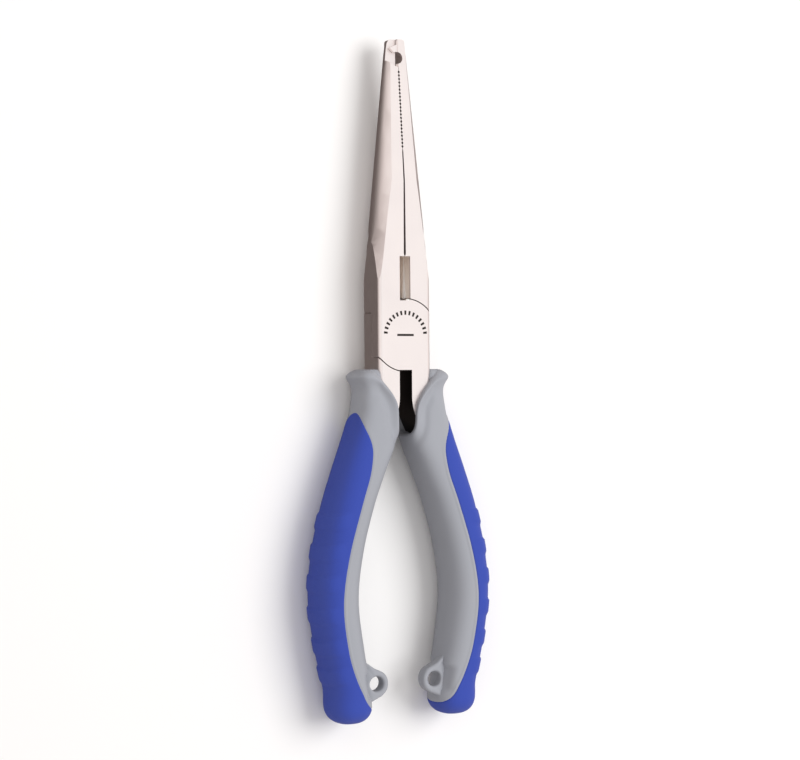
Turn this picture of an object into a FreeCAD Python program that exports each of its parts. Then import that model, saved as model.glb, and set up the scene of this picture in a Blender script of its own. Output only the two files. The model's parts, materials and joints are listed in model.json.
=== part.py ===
import FreeCAD, Part
import math
import os
import Sketcher
from FreeCAD import Placement, Rotation, Vector

# Long-nose fishing pliers, closed and lying on their back.
# Each piece is drawn about the pivot: X across the tool, Y along it towards the tip,
# Z out of the front face, with Z = 0 at the plane where the two halves lap.
# "Depth" is a distance from the pivot back along the handles, towards -Y.
# The finished part stands on Z = 0 with its origin under the middle of its box.

doc = FreeCAD.newDocument("FishingPliers")

# ---------------------------------------------------------------- driving sizes, in mm

SIZES = [
    ("jaw_reach", 82.8, "pivot to the tip of the jaws"),
    ("grip_reach", 107.2, "pivot to the end of the grips"),
    ("block_half", 8.1, "half the width of the joint block"),
    ("steel_half", 5.2, "half the thickness of the steel"),
    ("edge_round", 1.4, "rounding of the long steel edges"),
    ("disc_radius", 10.0, "joint disc"),
    ("seam_gap", 0.3, "clearance round the joint disc"),
    ("lap_gap", 0.05, "clearance from each half to the lap plane"),
    ("bite_gap", 0.05, "half the gap between closed teeth"),
    ("cone_radius", 9.63, "radius of the round jaws at the foot of the cone"),
    ("cone_foot", 9.9, "where the cone starts"),
    ("cone_tip_radius", 2.74, "radius of the round jaws at the tip"),
    ("thin_start", 43.0, "where the jaws start to get thinner"),
    ("thin_middle", 74.8, "where the taper steepens"),
    ("thin_middle_half", 2.4, "half thickness there"),
    ("thin_tip_half", 1.7, "half thickness at the tip"),
    ("tip_curve", 1.69, "curve at the corner of the tip"),
    ("tip_flat", 1.44, "straight part across the tip"),
    ("tip_shoulder", 1.56, "length of the tip's rounded corner"),
    ("tooth_start", 52.0, "first tooth"),
    ("tooth_end", 74.5, "last tooth"),
    ("tooth_pitch", 1.0, "from tooth to tooth"),
    ("tooth_deep", 0.3, "depth of a tooth"),
    ("tooth_land", 0.05, "half the land on top of a tooth"),
    ("over_axis", 0.2, "how far the cuts for teeth and cutter run past the axis"),
    ("standoff", 1.0, "how far a cutting shape stands clear of the steel"),
    ("throat_top_gap", 0.175, "half the gap behind the teeth"),
    ("throat_low_gap", 0.33, "half the gap above the cutter"),
    ("throat_ramp", 0.6, "length of the step above the cutter"),
    ("throat_end", 51.0, "where the throat closes towards the teeth"),
    ("cutter_low", 9.6, "foot of the cutter"),
    ("cutter_top", 21.9, "top of the cutter"),
    ("cutter_wide", 1.65, "half the width of the cutter recess"),
    ("cutter_drop", 0.5, "how far the cutter bevels start below the faces"),
    ("cutter_under", 0.1, "how far the cutter bevels run past the closed gap"),
    ("cutter_flat", 0.25, "half the width of the cutting edge's land"),
    ("cutter_open", 0.43, "half the gap at the foot of the cutting edges"),
    ("cutter_meet", 20.0, "where the cutting edges meet"),
    ("slot_half", 1.9, "half the slot between the shanks"),
    ("shank_bend", 16.9, "depth where the shanks start to bend out"),
    ("shank_bend_radius", 15.0, "bend of the shanks"),
    ("shank_splay", 22.0, "angle of the shanks to the axis, in degrees"),
    ("belly_radius", 75.0, "bend of the handles towards the belly"),
    ("belly_middle", 20.6, "middle of a handle at the belly"),
    ("tail_radius", 97.0, "bend of the handles below the belly"),
    ("tang_under", 0.02, "how far a tang lies below the faces of its shank"),
    ("tang_corner", 1.7, "bevel of the outer edges of the tangs"),
    ("tang_end", 87.0, "depth of the end of the tangs"),
    ("notch_x", 0.3, "the hook's notch from the axis"),
    ("notch_y", 77.5, "the hook's notch from the pivot"),
    ("notch_radius", 1.68, "the hook's notch"),
    ("hook_floor", 0.6, "the hooked layer starts this far in front of the lap plane"),
    ("hook_reach", 2.4, "the hook's point from the axis"),
    ("hook_gap", 0.12, "clearance between the hook and the tongue under it"),
    ("tongue_radius", 6.4, "step at the foot of the tongue"),
    ("tongue_side", 1.8, "where the step reaches the outside, from the tip"),
    ("tongue_sag", 1.5, "how far the middle of the step's curve lies below that, across"),
    ("tongue_past", 0.5, "how far the step's cut runs past the axis"),
    ("tongue_wide", 5.0, "half the width of the step's cut"),
    ("beak_root", 1.2, "how far the beak is rooted in its own jaw"),
    ("beak_top", 0.9, "top of the beak at its root, from the tip"),
    ("beak_point", 2.6, "the beak's point, from the tip"),
    ("beak_curve", 5.0, "curve of the beak's top"),
    ("beak_under", 0.6, "inner end of the beak's lower edge, from the axis"),
    ("beak_low", 4.6, "foot of the beak, from the tip"),
    ("rivet_radius", 3.0, "shaft of the rivet"),
    ("rivet_running", 0.05, "running clearance in the rear half"),
    ("rivet_deep", 3.6, "depth of the blind hole in the front half"),
    ("rivet_head", 4.6, "countersunk head of the rivet"),
    ("rivet_head_deep", 1.6, "depth of the head"),
    ("tang_fit", 0.04, "gap between a tang and its core"),
    ("tang_room", 0.2, "room in the core beyond the end of a tang"),
    ("room_top", 5.0, "depth where the cuts above the rim of a core start"),
    ("rim_edge", 8.35, "inner edge of the guard beside the block"),
    ("mouth_radius", 18.0, "curve of the front edge of a core's mouth"),
    ("mouth_foot", 21.5, "depth of the foot of that curve"),
    ("mouth_knee", 5.2, "upper end of that curve, from the axis"),
    ("mouth_knee_depth", 13.6, "depth of its upper end"),
    ("mouth_top", 11.2, "depth of the mouth's edge beside the block"),
    ("window_side", 5.1, "outer side of the window over the crotch"),
    ("crotch_depth", 27.5, "depth where the cores close over the inner side of the shanks"),
    ("overlay_thick", 1.7, "thickness of the soft overlay"),
    ("overlay_top", 21.4, "depth of the top of the overlay"),
    ("seam_top", 0.3, "start of the seam, inside the outer side"),
    ("seam_top_curve", 14.0, "curve of the seam over the shoulder"),
    ("seam_shoulder", 11.7, "seam above the upper section, from the axis"),
    ("seam_shoulder_depth", 33.5, "depth of that place"),
    ("seam_shoulder_curve", 20.0, "curve of the seam below it"),
    ("seam_middle", 16.5, "seam at the middle section, from the axis"),
    ("seam_middle_curve", 90.0, "curve of the seam down to the belly"),
    ("seam_belly", 21.0, "seam at the belly section, from the axis"),
    ("seam_belly_curve", 48.0, "curve of the seam down to the ankle"),
    ("seam_ankle", 15.7, "seam at the ankle section, from the axis"),
    ("seam_foot_curve", 14.0, "curve of the seam to the inner side"),
    ("seam_foot", 8.2, "end of the seam, from the axis"),
    ("seam_foot_depth", 102.0, "depth of the end of the seam"),
    ("outside", 3.0, "how far the overlay's outline stands off the grip"),
    ("loop_x", 9.1, "lanyard hole from the axis"),
    ("loop_front", 2.0, "middle of the loop in front of the lap plane"),
    ("loop_relief", 0.6, "how much wider the recesses in line with the lanyard hole are"),
    ("loop_depth", 96.5, "lanyard hole from the pivot"),
    ("loop_hole", 2.05, "radius of the lanyard hole"),
    ("loop_radius", 3.9, "outer radius of the lanyard loop"),
    ("loop_half", 2.0, "half thickness of the lanyard loop"),
    ("loop_neck", 5.98, "where the loop's round part ends, from the axis"),
    ("loop_drop", 2.34, "how far its two ends lie above and below the hole"),
    ("loop_root", 12.2, "root of the loop inside the grip, from the axis"),
    ("loop_spread", 5.4, "how far its root reaches above and below the hole"),
]

# Cross-sections of a grip: name, depth, inner side, outer side, half thickness, corner radius.
STATIONS = [
    ("lip", 9.5, 1.6, 12.0, 5.4, 2.2),
    ("guard", 12.0, 1.6, 13.7, 6.5, 2.8),
    ("waist", 18.0, 1.6, 13.1, 6.55, 2.9),
    ("neck", 22.0, 1.6, 13.7, 6.7, 3.2),
    ("shoulder", 28.6, 2.0, 16.2, 7.15, 4.6),
    ("upper", 37.5, 5.4, 19.7, 7.6, 5.6),
    ("middle", 47.0, 9.0, 22.9, 8.0, 5.8),
    ("lower", 60.0, 12.5, 26.1, 8.2, 6.0),
    ("belly", 73.0, 14.0, 27.2, 8.3, 6.1),
    ("calf", 87.0, 12.4, 25.4, 7.95, 6.0),
    ("ankle", 98.0, 10.2, 22.9, 7.4, 5.8),
    ("heel", 103.0, 10.1, 23.0, 7.2, 5.8),
    ("toe", 105.8, 11.4, 21.4, 5.6, 4.6),
    ("sole", 107.2, 14.0, 18.6, 2.6, 2.1),
]


def make_sheet():
    """Put every driving size in the sheet, one row each, with its name as the alias."""
    sheet = doc.addObject("Spreadsheet::Sheet", "Sizes")
    rows = list(SIZES)
    for name, depth, inner, outer, thick, corner in STATIONS:
        rows.append((name + "_depth", depth, name + " section: depth"))
        rows.append((name + "_inner", inner, name + " section: inner side"))
        rows.append((name + "_outer", outer, name + " section: outer side"))
        rows.append((name + "_thick", thick, name + " section: half thickness"))
        rows.append((name + "_corner", corner, name + " section: corner radius"))
    for row, (alias, number, note) in enumerate(rows, start=1):
        sheet.set("A%d" % row, note)
        sheet.set("B%d" % row, str(number))
        sheet.setAlias("B%d" % row, alias)
    doc.recompute()
    return sheet


sheet = make_sheet()


def size(text):
    """The number that an expression on the sheet gives."""
    return float(sheet.evalExpression(text))


# ---------------------------------------------------------------- helpers for sketches

def sketch_on(body, role, name, offset=None):
    """A sketch on one of the body's origin planes, moved along the plane's normal by offset."""
    sketch = body.newObject("Sketcher::SketchObject", name)
    for feature in body.Origin.OriginFeatures:
        if feature.Role == role:
            sketch.AttachmentSupport = [(feature, "")]
    sketch.MapMode = "FlatFace"
    if offset is not None:
        sketch.setExpression("AttachmentOffset.Base.z", offset)
    return sketch


def tie(sketch, kind, *where, to):
    """A constraint whose size is an expression on the sheet."""
    index = sketch.addConstraint(Sketcher.Constraint(kind, *where, size(to)))
    sketch.setExpression("Constraints[%d]" % index, to)


def outline(sketch, corners):
    """A closed outline. A corner is (x, y), or (x, y, radius, turn) where the edge that leaves it
    is an arc that turns "left" or "right". All are expressions on the sheet."""
    first = sketch.GeometryCount
    points = [Vector(size(c[0]), size(c[1]), 0) for c in corners]
    ends = []
    for i, corner in enumerate(corners):
        start = points[i]
        stop = points[(i + 1) % len(points)]
        if len(corner) == 2:
            sketch.addGeometry(Part.LineSegment(start, stop), False)
            ends.append((1, 2))
            continue
        radius = size(corner[2])
        chord = stop - start
        side = Vector(-chord.y, chord.x, 0).normalize()
        if corner[3] == "right":
            side = side * -1
        rise = math.sqrt(max(radius ** 2 - (chord.Length / 2) ** 2, 0.0))
        middle = (start + stop) * 0.5 + side * rise
        start_angle = math.atan2(start.y - middle.y, start.x - middle.x)
        stop_angle = math.atan2(stop.y - middle.y, stop.x - middle.x)
        circle = Part.Circle(middle, Vector(0, 0, 1), radius)
        if corner[3] == "left":
            sketch.addGeometry(Part.ArcOfCircle(circle, start_angle, stop_angle), False)
            ends.append((1, 2))
        else:
            sketch.addGeometry(Part.ArcOfCircle(circle, stop_angle, start_angle), False)
            ends.append((2, 1))
    for i, corner in enumerate(corners):
        after = (i + 1) % len(corners)
        here = first + i
        sketch.addConstraint(
            Sketcher.Constraint("Coincident", here, ends[i][1], first + after, ends[after][0]))
        tie(sketch, "DistanceX", -1, 1, here, ends[i][0], to=corner[0])
        tie(sketch, "DistanceY", -1, 1, here, ends[i][0], to=corner[1])
        if len(corner) == 4:
            tie(sketch, "Radius", here, to=corner[2])


def open_line(sketch, stops):
    """A path of straight runs and arcs. A stop is (x, y), or (x, y, radius, turn) where the
    stretch that leaves it is an arc."""
    for start_stop, end_stop in zip(stops, stops[1:]):
        start = Vector(size(start_stop[0]), size(start_stop[1]), 0)
        stop = Vector(size(end_stop[0]), size(end_stop[1]), 0)
        curve = Part.LineSegment(start, stop)
        ends = (1, 2)
        if len(start_stop) == 4:
            radius = size(start_stop[2])
            chord = stop - start
            left = Vector(-chord.y, chord.x, 0).normalize()
            rise = math.sqrt(radius ** 2 - (chord.Length / 2) ** 2)
            turn = 1 if start_stop[3] == "left" else -1
            middle = (start + stop) * 0.5 + left * rise * turn
            angles = [math.atan2(p.y - middle.y, p.x - middle.x) for p in (start, stop)]
            ends = (1, 2) if turn == 1 else (2, 1)
            curve = Part.ArcOfCircle(Part.Circle(middle, Vector(0, 0, 1), radius), *angles[::turn])
        here = sketch.addGeometry(curve, False)
        tie(sketch, "DistanceX", -1, 1, here, ends[0], to=start_stop[0])
        tie(sketch, "DistanceY", -1, 1, here, ends[0], to=start_stop[1])
        tie(sketch, "DistanceX", -1, 1, here, ends[1], to=end_stop[0])
        tie(sketch, "DistanceY", -1, 1, here, ends[1], to=end_stop[1])
        if len(start_stop) == 4:
            tie(sketch, "Radius", here, to=start_stop[2])


def circle(sketch, x, y, radius):
    """A full circle."""
    middle = Vector(size(x), size(y), 0)
    here = sketch.addGeometry(Part.Circle(middle, Vector(0, 0, 1), size(radius)), False)
    tie(sketch, "DistanceX", -1, 1, here, 3, to=x)
    tie(sketch, "DistanceY", -1, 1, here, 3, to=y)
    tie(sketch, "Radius", here, to=radius)


def body_named(name):
    return doc.addObject("PartDesign::Body", name)


def pad(body, sketch, length, name):
    """A pad to both sides of its sketch, length in all."""
    feature = body.newObject("PartDesign::Pad", name)
    feature.Profile = sketch
    feature.SideType = "Symmetric"
    feature.setExpression("Length", length)
    body.Tip = feature
    return feature


def cut(body, sketch, length, name, both_sides=True, turned=False):
    """A pocket, to both sides of its sketch or to one."""
    feature = body.newObject("PartDesign::Pocket", name)
    feature.Profile = sketch
    feature.SideType = "Symmetric" if both_sides else "One side"
    feature.Reversed = turned
    feature.setExpression("Length", length)
    body.Tip = feature
    return feature


def place(piece, turned=False):
    """Move a piece from its own frame, about the pivot, to the part's frame on the floor."""
    half_turn = 180 if turned else 0
    piece.Placement = Placement(Vector(0, 0, 0), Rotation(Vector(0, 1, 0), half_turn))
    piece.setExpression("Placement.Base.y", "(Sizes.grip_reach - Sizes.jaw_reach) / 2")
    piece.setExpression("Placement.Base.z", "Sizes.belly_thick")


# ---------------------------------------------------------------- the two steel halves
# The rear half is the front half turned half a turn about the tool's axis,
# apart from the hook and the rivet's hole, so one function draws both.

SAME = 0.01   # two places closer than this are the same
FLAT_Y = "sqrt(Sizes.disc_radius^2 - Sizes.block_half^2)"


def jaw_and_disc(body):
    """Left jaw, joint disc and the top of the right shank, seen from the half's own front."""
    sketch = sketch_on(body, "XY_Plane", "HalfOutline")
    outline(sketch, [
        ("-Sizes.bite_gap", "Sizes.jaw_reach"),
        ("-Sizes.tip_flat", "Sizes.jaw_reach", "Sizes.tip_curve", "left"),
        ("-Sizes.cone_tip_radius", "Sizes.jaw_reach - Sizes.tip_shoulder"),
        ("-Sizes.block_half", "Sizes.tooth_start"),
        ("-Sizes.block_half", "-" + FLAT_Y, "Sizes.disc_radius", "left"),
        ("0", "-Sizes.disc_radius", "Sizes.disc_radius", "left"),
        ("Sizes.slot_half", "-sqrt(Sizes.disc_radius^2 - Sizes.slot_half^2)"),
        ("Sizes.slot_half", "-Sizes.shank_bend"),
        ("Sizes.block_half", "-Sizes.shank_bend"),
        ("Sizes.block_half", FLAT_Y, "Sizes.disc_radius", "left"),
        ("-Sizes.cutter_open", "sqrt(Sizes.disc_radius^2 - Sizes.cutter_open^2)"),
        ("-Sizes.bite_gap", "Sizes.cutter_meet"),
        ("-Sizes.bite_gap", "Sizes.cutter_top"),
        ("-Sizes.throat_low_gap", "Sizes.cutter_top + Sizes.throat_ramp"),
        ("-Sizes.throat_top_gap", "Sizes.throat_end"),
        ("-Sizes.bite_gap", "Sizes.tooth_start"),
    ])
    pad(body, sketch, "Sizes.steel_half * 2", "HalfPad")


def round_long_edges(body):
    """Round the straight outer edges of the block."""
    doc.recompute()
    feature = body.Tip
    names = []
    for i, edge in enumerate(feature.Shape.Edges, start=1):
        ends = [v.Point for v in edge.Vertexes]
        along = len(ends) == 2 and abs(ends[0].y - ends[1].y) > size("Sizes.block_half")
        outer = all(abs(abs(p.x) - size("Sizes.block_half")) < SAME for p in ends)
        if along and outer:
            names.append("Edge%d" % i)
    fillet = body.newObject("PartDesign::Fillet", "LongEdges")
    fillet.Base = (feature, names)
    fillet.setExpression("Radius", "Sizes.edge_round")
    body.Tip = fillet


def tang(body, name, half_wide, half_thick, start, stop):
    """A bar from the shank down the middle of its handle: straight, bent out, straight, and bowed.
    The same path, a little fatter, cuts the hole for it in the grip."""
    middle = "(Sizes.slot_half + Sizes.block_half) / 2"
    lean = "Sizes.shank_splay * 1deg"
    trim = "Sizes.shank_bend_radius * tan(Sizes.shank_splay * 0.5deg)"
    bow_x = "Sizes.belly_middle - Sizes.belly_radius * (1 - cos(%s))" % lean
    bow_y = "-Sizes.belly_depth + Sizes.belly_radius * sin(%s)" % lean
    tail = "Sizes.belly_middle - Sizes.tail_radius * (1 - cos(asin((%s - Sizes.belly_depth)" % stop
    tail += " / Sizes.tail_radius)))"
    bend_x = "%s + %s * sin(%s)" % (middle, trim, lean)
    bend_y = "-Sizes.shank_bend - %s * (1 + cos(%s))" % (trim, lean)
    path = sketch_on(body, "XY_Plane", name + "Path")
    stops = [
        (middle, "-(%s)" % start),
        (middle, "-Sizes.shank_bend", "Sizes.shank_bend_radius", "left"),
        (bend_x, bend_y),
        (bow_x, bow_y, "Sizes.belly_radius", "right"),
        ("Sizes.belly_middle", "-Sizes.belly_depth", "Sizes.tail_radius", "right"),
        (tail, "-(%s)" % stop),
    ]
    open_line(path, stops)
    section = sketch_on(body, "XZ_Plane", name + "Section", start)
    inner = "%s - (%s)" % (middle, half_wide)
    outer = "%s + (%s)" % (middle, half_wide)
    corner = "%s - Sizes.tang_corner" % outer
    outline(section, [
        (inner, "-(%s)" % half_thick),
        (corner, "-(%s)" % half_thick),
        (outer, "-(%s - Sizes.tang_corner)" % half_thick),
        (outer, "%s - Sizes.tang_corner" % half_thick),
        (corner, half_thick),
        (inner, half_thick),
    ])
    pipe = body.newObject("PartDesign::AdditivePipe", name)
    pipe.Profile = section
    pipe.Spine = (path, [])
    pipe.Mode = "Fixed"
    body.Tip = pipe


def round_the_jaw(body):
    """Turn everything off outside the jaws' long cone."""
    sketch = sketch_on(body, "XY_Plane", "OutsideCone")
    outline(sketch, [
        ("Sizes.cone_radius", "Sizes.cone_foot"),
        ("Sizes.cone_radius * 2", "Sizes.cone_foot"),
        ("Sizes.cone_radius * 2", "Sizes.jaw_reach + Sizes.standoff"),
        ("Sizes.cone_tip_radius", "Sizes.jaw_reach + Sizes.standoff"),
        ("Sizes.cone_tip_radius", "Sizes.jaw_reach"),
    ])
    groove = body.newObject("PartDesign::Groove", "JawCone")
    groove.Profile = sketch
    groove.ReferenceAxis = (sketch, ["V_Axis"])
    groove.Angle = 360
    body.Tip = groove


def thin_the_jaw(body):
    """Take a long flat off each face, so that the jaw gets thinner towards the tip."""
    for face, sign in (("Front", ""), ("Back", "-")):
        sketch = sketch_on(body, "YZ_Plane", face + "Flat")
        far = "Sizes.jaw_reach + Sizes.standoff"
        steps = [
            ("Sizes.thin_start", sign + "(Sizes.steel_half)"),
            ("Sizes.thin_middle", sign + "(Sizes.thin_middle_half)"),
            ("Sizes.jaw_reach", sign + "(Sizes.thin_tip_half)"),
            (far, sign + "(Sizes.thin_tip_half)"),
            (far, sign + "(Sizes.steel_half + Sizes.standoff)"),
            ("Sizes.thin_start", sign + "(Sizes.steel_half + Sizes.standoff)"),
        ]
        outline(sketch, steps)
        cut(body, sketch, "Sizes.block_half * 4", face + "Thinning")


def cut_the_teeth(body):
    """One V between two teeth, repeated along the bite."""
    sketch = sketch_on(body, "XY_Plane", "ToothGap")
    outline(sketch, [
        ("Sizes.over_axis", "Sizes.tooth_start + Sizes.tooth_land"),
        ("Sizes.over_axis", "Sizes.tooth_start + Sizes.tooth_pitch - Sizes.tooth_land"),
        ("-Sizes.bite_gap", "Sizes.tooth_start + Sizes.tooth_pitch - Sizes.tooth_land"),
        ("-Sizes.bite_gap - Sizes.tooth_deep", "Sizes.tooth_start + Sizes.tooth_pitch / 2"),
        ("-Sizes.bite_gap", "Sizes.tooth_start + Sizes.tooth_land"),
    ])
    first = cut(body, sketch, "Sizes.steel_half * 4", "FirstTooth")
    doc.recompute()
    row = body.newObject("PartDesign::LinearPattern", "Teeth")
    row.Originals = [first]
    row.Direction = (sketch, ["V_Axis"])
    row.Mode = "Spacing"
    row.setExpression("Offset", "Sizes.tooth_pitch")
    row.setExpression("Occurrences", "floor((Sizes.tooth_end - Sizes.tooth_start) / Sizes.tooth_pitch)")
    body.Tip = row


def bevel_the_cutter(body):
    """Slope both faces down to the land of the cutting edge."""
    for face, sign in (("Front", ""), ("Back", "-")):
        sketch = sketch_on(body, "XZ_Plane", face + "Bevel", "-Sizes.cutter_top")
        outline(sketch, [
            ("Sizes.over_axis", sign + "(Sizes.steel_half + Sizes.standoff)"),
            ("-Sizes.cutter_wide", sign + "(Sizes.steel_half + Sizes.standoff)"),
            ("-Sizes.cutter_wide", sign + "(Sizes.steel_half - Sizes.cutter_drop)"),
            ("-Sizes.bite_gap - Sizes.cutter_under", sign + "(Sizes.cutter_flat)"),
            ("Sizes.over_axis", sign + "(Sizes.cutter_flat)"),
        ])
        cut(body, sketch, "Sizes.cutter_top - Sizes.cutter_low", face + "CutterBevel",
            both_sides=False, turned=True)


def clear_the_lap(body):
    """Cut away the half's back where the other half's disc turns."""
    sketch = sketch_on(body, "XY_Plane", "LapCircle", "Sizes.lap_gap")
    circle(sketch, "0", "0", "Sizes.disc_radius + Sizes.seam_gap")
    cut(body, sketch, "Sizes.steel_half * 2", "Lap", both_sides=False)


def thin_for_the_hook(body):
    """The tongue: the front of the left jaw's tip is stepped down under the hook."""
    sketch = sketch_on(body, "XY_Plane", "TongueStep", "Sizes.hook_floor - Sizes.hook_gap")
    low = "Sizes.jaw_reach - Sizes.tongue_side - sqrt(Sizes.tongue_radius^2 - Sizes.tongue_sag^2)"
    outline(sketch, [
        ("Sizes.tongue_past", "Sizes.jaw_reach + Sizes.standoff"),
        ("-Sizes.tongue_wide", "Sizes.jaw_reach + Sizes.standoff"),
        ("-Sizes.tongue_wide", "Sizes.jaw_reach - Sizes.tongue_side", "Sizes.tongue_radius", "left"),
        ("Sizes.tongue_past", low),
    ])
    cut(body, sketch, "Sizes.steel_half", "Tongue", both_sides=False, turned=True)


def make_hook(body):
    """The hook: a beak on the far face that reaches over the tongue, with a round notch under it."""
    sketch = sketch_on(body, "XY_Plane", "Beak", "-Sizes.hook_floor")
    outline(sketch, [
        ("-Sizes.beak_root", "Sizes.jaw_reach - Sizes.beak_top"),
        ("Sizes.hook_reach", "Sizes.jaw_reach - Sizes.beak_point", "Sizes.beak_curve", "left"),
        ("Sizes.beak_under", "Sizes.jaw_reach - Sizes.beak_low"),
        ("-Sizes.beak_root", "Sizes.jaw_reach - Sizes.beak_low"),
    ])
    beak = body.newObject("PartDesign::Pad", "BeakPad")
    beak.Profile = sketch
    beak.Reversed = True
    beak.setExpression("Length", "Sizes.thin_tip_half - Sizes.hook_floor")
    body.Tip = beak
    notch = sketch_on(body, "XY_Plane", "Notch")
    circle(notch, "Sizes.notch_x", "Sizes.notch_y", "Sizes.notch_radius")
    cut(body, notch, "Sizes.steel_half * 4", "NotchCut")


def drill(body, radius, deep, name):
    """A round hole about the pivot, from the lap plane into the disc or right through."""
    sketch = sketch_on(body, "XY_Plane", name + "Circle")
    circle(sketch, "0", "0", radius)
    cut(body, sketch, deep, name, both_sides=False, turned=True)


def countersink(body):
    """The seat of the rivet's head in the outer face of the rear half's disc."""
    sketch = sketch_on(body, "XZ_Plane", "HeadSeat")
    wide = "Sizes.rivet_head + Sizes.rivet_running"
    narrow = "Sizes.rivet_radius + Sizes.rivet_running"
    outline(sketch, [
        ("0", "Sizes.steel_half - Sizes.rivet_head_deep - Sizes.rivet_running"),
        (narrow, "Sizes.steel_half - Sizes.rivet_head_deep - Sizes.rivet_running"),
        (wide, "Sizes.steel_half - Sizes.rivet_running"),
        (wide, "Sizes.steel_half + Sizes.standoff"),
        ("0", "Sizes.steel_half + Sizes.standoff"),
    ])
    groove = body.newObject("PartDesign::Groove", "HeadSeatCut")
    groove.Profile = sketch
    groove.ReferenceAxis = (sketch, ["V_Axis"])
    groove.Angle = 360
    body.Tip = groove


def half(name, hooked):
    """One forging: jaw, disc, shank and tang."""
    body = body_named(name)
    jaw_and_disc(body)
    round_long_edges(body)
    tang(body, "Tang", "(Sizes.block_half - Sizes.slot_half) / 2 - Sizes.tang_under",
         "Sizes.steel_half - Sizes.tang_under", "Sizes.shank_bend - Sizes.standoff", "Sizes.tang_end")
    round_the_jaw(body)
    thin_the_jaw(body)
    cut_the_teeth(body)
    bevel_the_cutter(body)
    clear_the_lap(body)
    if hooked:
        make_hook(body)
        drill(body, "Sizes.rivet_radius + Sizes.rivet_running", "Sizes.steel_half", "RivetHole")
        countersink(body)
    else:
        thin_for_the_hook(body)
        drill(body, "Sizes.rivet_radius", "Sizes.rivet_deep", "RivetHole")
    place(body, turned=hooked)
    return body


# ---------------------------------------------------------------- the rivet

def make_rivet():
    """A countersunk rivet: its head is flush with the back and its end is blind in the front half."""
    body = body_named("pivot_rivet")
    sketch = sketch_on(body, "XZ_Plane", "RivetProfile")
    outline(sketch, [
        ("0", "-Sizes.steel_half"),
        ("Sizes.rivet_head", "-Sizes.steel_half"),
        ("Sizes.rivet_radius", "-Sizes.steel_half + Sizes.rivet_head_deep"),
        ("Sizes.rivet_radius", "Sizes.rivet_deep"),
        ("0", "Sizes.rivet_deep"),
    ])
    turned = body.newObject("PartDesign::Revolution", "RivetTurned")
    turned.Profile = sketch
    turned.ReferenceAxis = (sketch, ["V_Axis"])
    turned.Angle = 360
    body.Tip = turned
    place(body)
    return body


# ---------------------------------------------------------------- the grips
# The right grip is drawn and the left one is its mirror image.

def grip_form(name, inset):
    """The moulded outside of a grip, lofted through the stations, or the same shape pulled in."""
    body = body_named(name)
    sections = []
    for station in STATIONS:
        word = station[0]
        depth = "Sizes.%s_depth - %s * Sizes.%s_depth / Sizes.grip_reach" % (word, inset, word)
        inner = "Sizes.%s_inner + %s" % (word, inset)
        outer = "Sizes.%s_outer - %s" % (word, inset)
        thick = "Sizes.%s_thick - %s" % (word, inset)
        corner = "Sizes.%s_corner * (1 - %s / Sizes.%s_thick)" % (word, inset, word)
        sketch = sketch_on(body, "XZ_Plane", name + word.capitalize(), depth)
        low_thick = "-(%s)" % thick
        outline(sketch, [
            ("%s + %s" % (inner, corner), low_thick),
            ("%s - %s" % (outer, corner), low_thick, corner, "left"),
            (outer, "-(%s - %s)" % (thick, corner)),
            (outer, "%s - %s" % (thick, corner), corner, "left"),
            ("%s - %s" % (outer, corner), thick),
            ("%s + %s" % (inner, corner), thick, corner, "left"),
            (inner, "%s - %s" % (thick, corner)),
            (inner, "-(%s - %s)" % (thick, corner), corner, "left"),
        ])
        sections.append(sketch)
    loft = body.newObject("PartDesign::AdditiveLoft", name + "Loft")
    loft.Profile = sections[0]
    loft.Sections = sections[1:]
    body.Tip = loft
    return body


def overlay_region():
    """Where a grip is soft: its outer side, and all of it at the bottom."""
    body = body_named("OverlayRegion")
    sketch = sketch_on(body, "XY_Plane", "OverlayOutline")
    outline(sketch, [
        ("Sizes.belly_outer + Sizes.outside", "-Sizes.overlay_top"),
        ("Sizes.neck_outer - Sizes.seam_top", "-Sizes.overlay_top", "Sizes.seam_top_curve", "left"),
        ("Sizes.seam_shoulder", "-Sizes.seam_shoulder_depth", "Sizes.seam_shoulder_curve", "left"),
        ("Sizes.seam_middle", "-Sizes.middle_depth", "Sizes.seam_middle_curve", "right"),
        ("Sizes.seam_belly", "-Sizes.belly_depth", "Sizes.seam_belly_curve", "right"),
        ("Sizes.seam_ankle", "-Sizes.ankle_depth", "Sizes.seam_foot_curve", "right"),
        ("Sizes.seam_foot", "-Sizes.seam_foot_depth"),
        ("Sizes.seam_foot", "-Sizes.grip_reach - Sizes.standoff"),
        ("Sizes.belly_outer + Sizes.outside", "-Sizes.grip_reach - Sizes.standoff"),
    ])
    pad(body, sketch, "Sizes.belly_thick * 4", "OverlayPad")
    return body


def above_the_rim():
    """What the core leaves open: the sloping mouth that shows the shank, front and back."""
    body = body_named("AboveRim")
    mouth = sketch_on(body, "XY_Plane", "MouthOutline")
    outline(mouth, [
        ("-Sizes.standoff", "-Sizes.room_top"),
        ("-Sizes.standoff", "-Sizes.neck_depth"),
        ("Sizes.neck_inner", "-Sizes.mouth_foot", "Sizes.mouth_radius", "right"),
        ("Sizes.mouth_knee", "-Sizes.mouth_knee_depth"),
        ("Sizes.rim_edge", "-Sizes.mouth_top"),
        ("Sizes.rim_edge", "-Sizes.room_top"),
    ])
    pad(body, mouth, "Sizes.belly_thick * 4", "MouthPad")
    return body


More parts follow.
